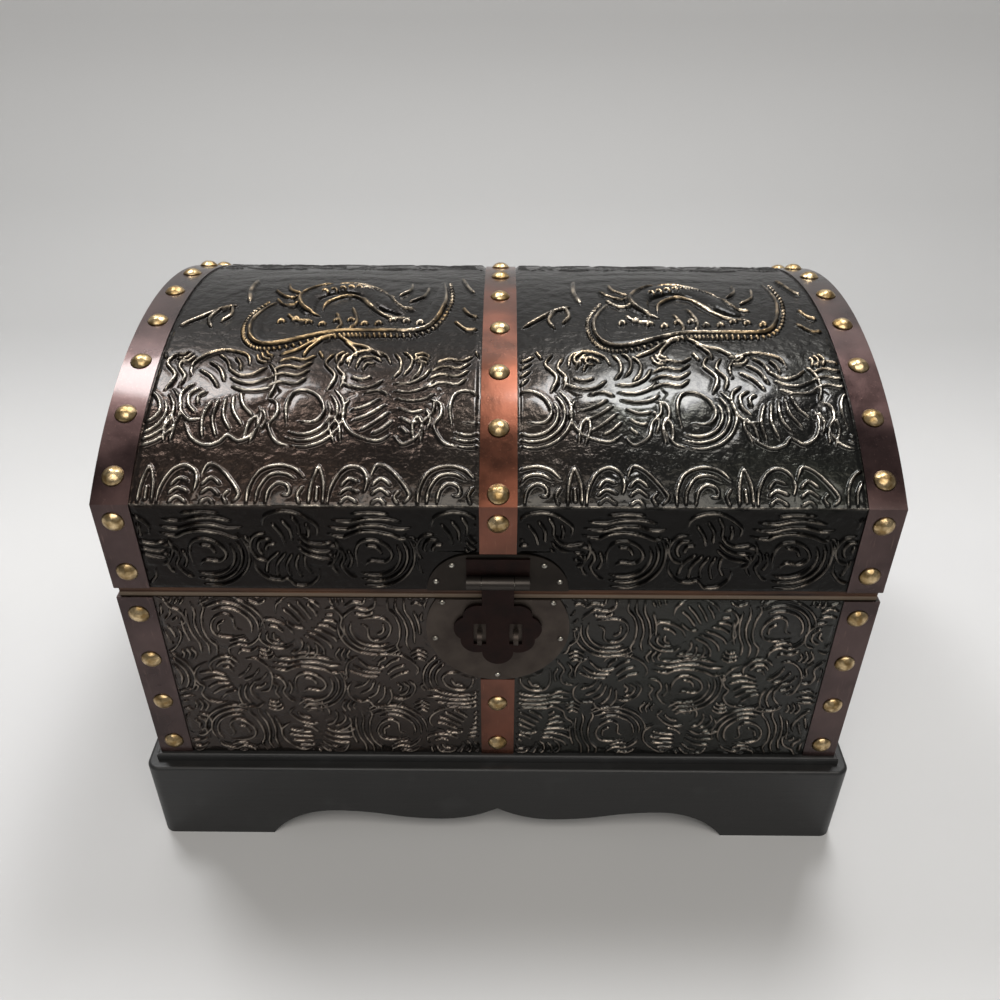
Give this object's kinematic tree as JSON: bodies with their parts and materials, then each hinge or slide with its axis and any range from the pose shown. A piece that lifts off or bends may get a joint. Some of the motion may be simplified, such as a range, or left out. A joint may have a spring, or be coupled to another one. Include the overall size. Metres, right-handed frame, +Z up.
{
  "type": "dome top trunk",
  "caption": "Dome top trunk on a bracket foot plinth: wooden box and hinged arched lid clad in embossed metal sheet, with nailed copper straps and a cloud shaped hasp over padlock eyes.",
  "frame": {"origin": "on the floor under the middle of the plinth", "axes": "+X to the right seen from the front, +Y to the back, +Z up; the latch faces -Y"},
  "size_m": [0.398, 0.2924, 0.2823],
  "materials": {
    "plinth_paint": "satin black paint",
    "carcass_wood": "dark stain",
    "embossed_sheet": "dark patina, worn bright on the relief",
    "copper_strap": "antique copper",
    "brass_nails": "hammered antique brass",
    "latch_bronze": "dull bronze",
    "dark_iron": "dark brown oxide",
    "steel": "plain"
  },
  "bodies": {
    "trunk": {"plinth_front_apron": "plinth_paint", "plinth_back_apron": "plinth_paint", "plinth_left_apron": "plinth_paint", "plinth_right_apron": "plinth_paint", "plinth_corner_blocks": "carcass_wood", "base_board": "plinth_paint", "box_front_board": "carcass_wood", "box_back_board": "carcass_wood", "box_left_board": "carcass_wood", "box_right_board": "carcass_wood", "box_front_sheet": "embossed_sheet", "box_back_sheet": "embossed_sheet", "box_left_sheet": "embossed_sheet", "box_right_sheet": "embossed_sheet", "box_front_left_strap": "copper_strap", "box_front_right_strap": "copper_strap", "box_back_left_strap": "copper_strap", "box_back_right_strap": "copper_strap", "box_front_middle_strap": "copper_strap", "box_back_middle_strap": "copper_strap", "box_strap_nails": "brass_nails", "latch_lower_plate": "latch_bronze", "latch_lower_brads": "steel", "padlock_eyes": "latch_bronze", "hinge_box_leaves": "dark_iron", "hinge_box_screws": "steel", "hinge_pins": "steel"},
    "lid": {"lid_front_rail": "carcass_wood", "lid_back_rail": "carcass_wood", "lid_left_end": "carcass_wood", "lid_right_end": "carcass_wood", "lid_dome_board": "carcass_wood", "lid_folded_sheet": "embossed_sheet", "lid_left_sheet": "embossed_sheet", "lid_right_sheet": "embossed_sheet", "lid_left_strap": "copper_strap", "lid_right_strap": "copper_strap", "lid_middle_strap": "copper_strap", "lid_strap_nails": "brass_nails", "latch_upper_plate": "latch_bronze", "latch_upper_brads": "steel", "latch_leaf": "dark_iron", "latch_pin": "steel", "hinge_lid_leaves": "dark_iron", "hinge_lid_screws": "steel"},
    "hasp": {"cloud_hasp": "dark_iron"}
  },
  "joints": [
    {"name": "lid_hinge", "type": "hinge", "parent": "trunk", "child": "lid", "pos_m": [0, 0.14, 0.18015], "axis": [-1, 0, 0], "range_deg": [0, 105]},
    {"name": "hasp_hinge", "type": "hinge", "parent": "lid", "child": "hasp", "pos_m": [0, -0.1412, 0.1903], "axis": [-1, 0, 0], "range_deg": [0, 170]}
  ]
}
